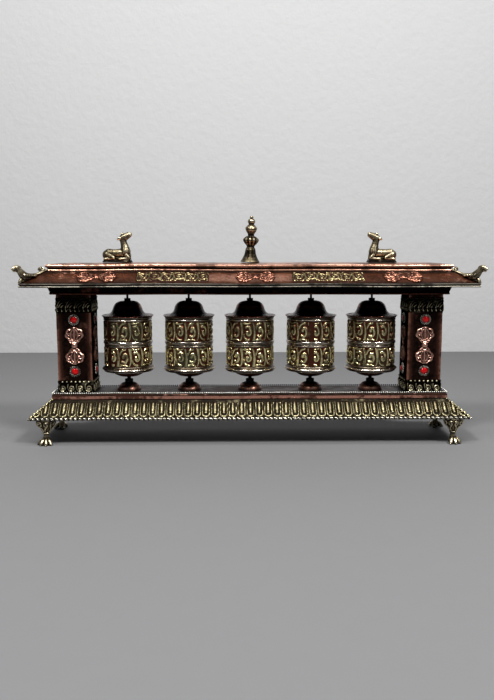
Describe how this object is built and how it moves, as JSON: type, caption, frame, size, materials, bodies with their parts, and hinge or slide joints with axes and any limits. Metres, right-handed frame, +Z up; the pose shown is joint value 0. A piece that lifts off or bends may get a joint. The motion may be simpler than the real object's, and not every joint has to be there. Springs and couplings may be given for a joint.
{
  "type": "table-top prayer wheel stand",
  "caption": "Table-top prayer wheel stand: drums in a row turn freely on upright rods between a footed plinth and a hipped copper roof with deer and a finial.",
  "frame": {"origin": "middle of the stand, at the level its feet rest on", "axes": "+X along the stand to the viewer's right, +Y away from the viewer, +Z up along the wheel rods"},
  "size_m": [0.4128, 0.088, 0.2045],
  "materials": {
    "copper": "antiqued copper sheet, hand polished on the high spots",
    "dark_copper": "blackened copper sheet, satin",
    "antique_brass": "stamped brass sheet, dark in the recesses",
    "cast_brass": "cast brass, antiqued and rubbed bright",
    "white_metal": "white-metal plated brass, rubbed",
    "steel": "dull steel",
    "red_stone": "polished red coral-coloured stone",
    "paper": "rolled paper, aged"
  },
  "bodies": {
    "frame": {"base_bottom_plate": "copper", "base_skirt": "antique_brass", "base_deck": "copper", "deck_beading": "white_metal", "lion_feet": "cast_brass", "hex_nuts": "steel", "pillar_left": "copper", "pillar_right": "copper", "pillar_bands": "antique_brass", "pillar_dorjes": "copper", "stone_bezels": "white_metal", "coral_stones": "red_stone", "roof_soffit": "dark_copper", "roof_shell": "copper", "eave_strip": "white_metal", "roof_cap": "copper", "roof_plaques": "copper", "roof_relief_strips": "antique_brass", "finial": "cast_brass", "deer_left": "cast_brass", "deer_right": "cast_brass", "corner_makaras": "cast_brass", "axle_rods": "steel", "bearing_bosses": "dark_copper", "thrust_collars": "steel"},
    "wheel_1": {"wheel_1_drum": "dark_copper", "wheel_1_rings": "white_metal", "wheel_1_relief": "antique_brass", "wheel_1_top_cap": "dark_copper", "wheel_1_bottom_cap": "dark_copper", "wheel_1_tube": "antique_brass", "wheel_1_scroll": "paper"},
    "wheel_2": {"wheel_2_drum": "dark_copper", "wheel_2_rings": "white_metal", "wheel_2_relief": "antique_brass", "wheel_2_top_cap": "dark_copper", "wheel_2_bottom_cap": "dark_copper", "wheel_2_tube": "antique_brass", "wheel_2_scroll": "paper"},
    "wheel_3": {"wheel_3_drum": "dark_copper", "wheel_3_rings": "white_metal", "wheel_3_relief": "antique_brass", "wheel_3_top_cap": "dark_copper", "wheel_3_bottom_cap": "dark_copper", "wheel_3_tube": "antique_brass", "wheel_3_scroll": "paper"},
    "wheel_4": {"wheel_4_drum": "dark_copper", "wheel_4_rings": "white_metal", "wheel_4_relief": "antique_brass", "wheel_4_top_cap": "dark_copper", "wheel_4_bottom_cap": "dark_copper", "wheel_4_tube": "antique_brass", "wheel_4_scroll": "paper"},
    "wheel_5": {"wheel_5_drum": "dark_copper", "wheel_5_rings": "white_metal", "wheel_5_relief": "antique_brass", "wheel_5_top_cap": "dark_copper", "wheel_5_bottom_cap": "dark_copper", "wheel_5_tube": "antique_brass", "wheel_5_scroll": "paper"}
  },
  "joints": [
    {"name": "wheel_1_spin", "type": "hinge", "parent": "frame", "child": "wheel_1", "pos_m": [-0.1126, 0, 0.0895], "axis": [0, 0, 1], "continuous": true},
    {"name": "wheel_2_spin", "type": "hinge", "parent": "frame", "child": "wheel_2", "pos_m": [-0.0563, 0, 0.0895], "axis": [0, 0, 1], "continuous": true},
    {"name": "wheel_3_spin", "type": "hinge", "parent": "frame", "child": "wheel_3", "pos_m": [0, 0, 0.0895], "axis": [0, 0, 1], "continuous": true},
    {"name": "wheel_4_spin", "type": "hinge", "parent": "frame", "child": "wheel_4", "pos_m": [0.0563, 0, 0.0895], "axis": [0, 0, 1], "continuous": true},
    {"name": "wheel_5_spin", "type": "hinge", "parent": "frame", "child": "wheel_5", "pos_m": [0.1126, 0, 0.0895], "axis": [0, 0, 1], "continuous": true}
  ]
}
